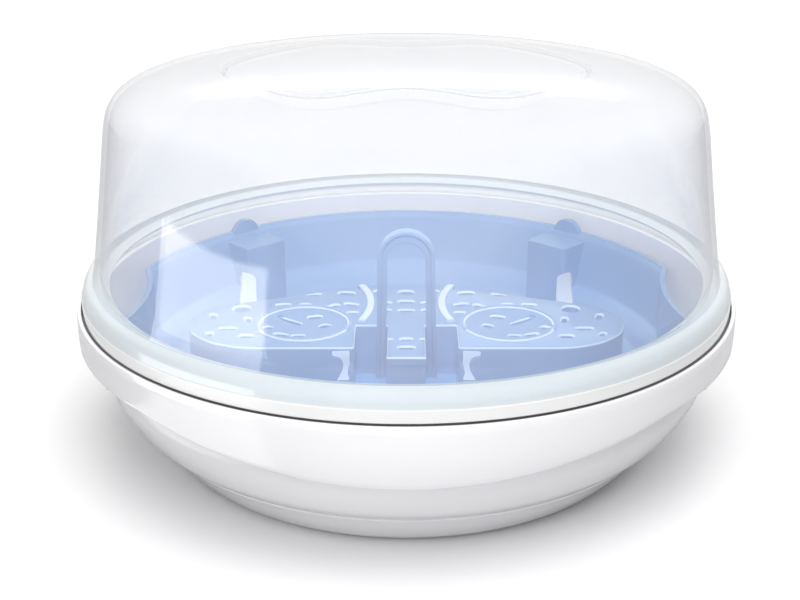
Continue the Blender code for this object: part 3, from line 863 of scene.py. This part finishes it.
def make_lid():
    # Down the outside, round the foot with its drip bead, and up the inside.
    wall = rounded([
        (CROWN_REACH, CROWN[-1][1], 0.0), (112.5, 89.6, 4.0), (118.2, 86.6, 3.5), (122.0, 81.6, 4.0),
        (123.7, 74.0, 4.0),
        (126.4, 54.0, 8.0), (129.4, 33.0, 8.0), (131.6, 18.4, 3.0), (132.9, LID_FOOT, 0.25),
        (135.4, 11.2, 1.5), (137.1, 8.4, 1.6), (137.5, 5.7, 0.3), (137.9, 5.2, 0.25),
        (137.9, 0.45, 0.35), (134.3, 0.45, 0.4), (134.3, 2.8, 0.5),
        (135.2, 4.6, 0.8), (134.5, 7.2, 1.0), (133.0, 8.6, 1.0), (126.6, 8.2, 0.4), (126.0, 9.3, 0.5),
        (129.6, 11.0, 0.6), (129.8, 17.6, 3.0),
        (127.4, 33.0, 8.0), (124.4, 54.0, 8.0), (121.8, 73.6, 4.0), (120.2, 80.6, 3.5), (116.8, 84.8, 3.0),
        (111.8, 87.6, 3.5), (CROWN_REACH, CROWN[-1][1] - CROWN_THICKNESS, 0.0),
    ], steps=6)[1:-1]
    rings = crown_rings(0.0) + lathe_rings(wall)
    rings += list(reversed(crown_rings(CROWN_THICKNESS)))
    lid = new_object("lid_shell", ring_mesh("lid_shell", rings, False, False), CLEAR, 40.0)
    lid.data.materials.append(PANEL_FOLD_PAINTED_SHADE)
    lid.data.materials.append(SHOULDER)
    lid.data.materials.append(FOOT_BAND)
    # The faces come ring by ring, so the panel's edge is found by counting rings from the centre.
    first = len(PANEL_SHARES)
    folds = (first + 1, first + PANEL_STEPS - 1, first + PANEL_STEPS)
    for face in lid.data.polygons:
        height = face.center.z / MM - SEAM
        if face.index // STEPS in folds:
            # Painted shade: the fold's rings get the darker grey.
            face.material_index = 1
        elif height < FOOT_BAND_TOP:
            face.material_index = 3
        elif height < LID_FOOT:
            face.material_index = 2
    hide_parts("lid")
    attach(lid, "cover")


# ---------------------------------------------------------------- side clips

def make_clip(side):
    """A flap with a hooked end, drawn closed about its hinge and swung down to hang open."""
    barrel = arc(0.0, 0.0, 1.7, 120, 340, 20)
    rest = rounded([
        (1.6, -0.58, 0.0), (3.6, 2.4, 1.2), (3.8, 27.2, 1.0), (3.3, 29.0, 0.5), (2.3, 29.6, 0.4),
        (-2.9, 29.6, 0.3), (-3.4, 29.0, 0.3), (-3.4, 27.8, 0.2), (1.9, 27.4, 0.5), (1.9, 2.3, 0.5),
        (-0.85, 1.47, 0.0),
    ], steps=4)[1:-1]
    half = CLIP_WIDTH / 2
    clip = prism("clip_" + side, barrel + rest, -half, half, soften=0.35, material=CLIP_WHITE_PAINTED_SHADE)
    out = 1.0 if side == "right" else -1.0
    swing = Matrix.Rotation(-math.radians(CLIP_OPEN_DEG), 4, "Z")
    hinge = Matrix.Translation((out * HINGE_X * MM, 0.0, HINGE_Z * MM))
    clip.matrix_world = hinge @ side_frame(side) @ swing
    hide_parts("side_clip_" + side)
    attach(clip, "clip_" + side)


# ---------------------------------------------------------------- stage

def make_stage():
    """A pale floor. It throws back less light than it shows, as between a studio's dark flags."""
    outline = rounded([(-2600.0, -1600.0, 60.0), (2600.0, -1600.0, 60.0), (2600.0, 3200.0, 60.0),
                       (-2600.0, 3200.0, 60.0)], closed=True)
    pale = (0.93, 0.93, 0.935)
    paint, shader, _ = moulded("floor_paint", pale, (0.92, 0.92, 0.925), (0.5, 0.6), 0.0, 900.0)
    nodes = paint.node_tree.nodes
    links = paint.node_tree.links
    colour = shader.inputs["Base Color"].links[0].from_socket
    path = nodes.new("ShaderNodeLightPath")
    shown = mix_colour(nodes, links, path.outputs["Is Camera Ray"], (0.60, 0.60, 0.61), colour)
    feed(links, shader.inputs["Base Color"], shown)
    prism("floor", outline, -12.0, 0.0, material=paint)


def make_world():
    """A white studio: dim as a lamp, bright where it is seen or reflected, and darker at its sides."""
    world = bpy.data.worlds.new("studio")
    world.use_nodes = True
    nodes = world.node_tree.nodes
    links = world.node_tree.links
    background = nodes["Background"]
    background.inputs["Color"].default_value = (1.0, 1.0, 1.0, 1.0)
    path = nodes.new("ShaderNodeLightPath")
    seen = maths(nodes, links, "MAXIMUM", path.outputs["Is Glossy Ray"], path.outputs["Is Camera Ray"])
    level = map_range(nodes, links, seen, 0.0, 1.0, 0.26, 1.06)
    place = nodes.new("ShaderNodeTexCoord")
    parts = nodes.new("ShaderNodeSeparateXYZ")
    links.new(place.outputs["Generated"], parts.inputs["Vector"])
    sideways = maths(nodes, links, "ABSOLUTE", parts.outputs["X"])
    fall = map_range(nodes, links, sideways, 0.55, 1.0, 1.0, 0.65, smooth=True)
    feed(links, background.inputs["Strength"], maths(nodes, links, "MULTIPLY", level, fall))
    bpy.context.scene.world = world


def link_lamp(name, data):
    lamp = bpy.data.objects.new(name, data)
    bpy.context.scene.collection.objects.link(lamp)
    return lamp


def area_light(name, place, target, size, power, hidden=()):
    """A rectangular lamp, in metres and watts; hidden lists the kinds of ray that don't see it."""
    data = bpy.data.lights.new(name, "AREA")
    data.shape = "RECTANGLE"
    data.size, data.size_y = size
    data.energy = power
    lamp = link_lamp(name, data)
    lamp.location = place
    lamp.rotation_euler = (Vector(target) - Vector(place)).to_track_quat("-Z", "Y").to_euler()
    lamp.visible_diffuse = "diffuse" not in hidden
    lamp.visible_glossy = "glossy" not in hidden
    lamp.visible_camera = "camera" not in hidden
    return lamp


def make_lights():
    sun = bpy.data.lights.new("overhead", "SUN")
    sun.energy = 2.22
    sun.angle = math.radians(46.0)
    overhead = link_lamp("overhead", sun)
    overhead.rotation_euler = (math.radians(20.0), math.radians(8.0), 0.0)
    overhead.visible_glossy = False
    area_light("fill", (-0.45, -1.00, 1.02), (0.0, 0.0, 0.06), (0.7, 0.40), 4.0, ("glossy",))
    # A light card on the floor, seen only as a reflection in the skirt's left part.
    card_place = (-0.178, -0.150, 0.003)
    above_card = (*card_place[:2], 1.0)
    card = area_light("card", card_place, above_card, (0.16, 0.14), 0.09, ("diffuse", "camera"))
    card.rotation_euler = (math.pi, 0.0, math.atan2(0.660, 0.751))
    # A window, seen as a reflection low on the lid's left side.
    beside_lid = (-0.170, -0.125, 0.050)
    area_light("window", (-0.260, -0.168, 0.050), beside_lid, (0.215, 0.090), 0.21, ("diffuse",))
    # Soft light on the tray's back wall and on the bowl's foot.
    unseen = ("glossy", "camera")
    area_light("inside", (0.0, -0.050, 0.150), (0.0, 0.125, 0.066), (0.16, 0.05), 0.12, unseen)
    area_light("low", (0.0, -0.36, 0.012), (0.0, -0.105, 0.012), (0.34, 0.02), 0.19, unseen)
    area_light("backdrop", (0.0, 1.9, 1.3), (0.0, 1.9, 0.0), (4.6, 2.2), 24.0, ("glossy",))


def make_camera():
    elevation = math.radians(21.25)
    distance = 0.560
    target_z = 0.0593
    data = bpy.data.cameras.new("camera")
    data.lens = 57.25
    data.sensor_width = 36.0
    data.shift_x = -6.3 / 800.0
    camera = bpy.data.objects.new("camera", data)
    bpy.context.scene.collection.objects.link(camera)
    camera.location = (0.0, -distance * math.cos(elevation), target_z + distance * math.sin(elevation))
    camera.rotation_euler = (math.pi / 2.0 - elevation, 0.0, 0.0)
    bpy.context.scene.camera = camera


make_bowl()
make_tray()
make_hoop()
make_lid()
for clip_side in ("left", "right"):
    make_clip(clip_side)
make_stage()
make_world()
make_lights()
make_camera()
bpy.context.scene.view_settings.view_transform = "Standard"
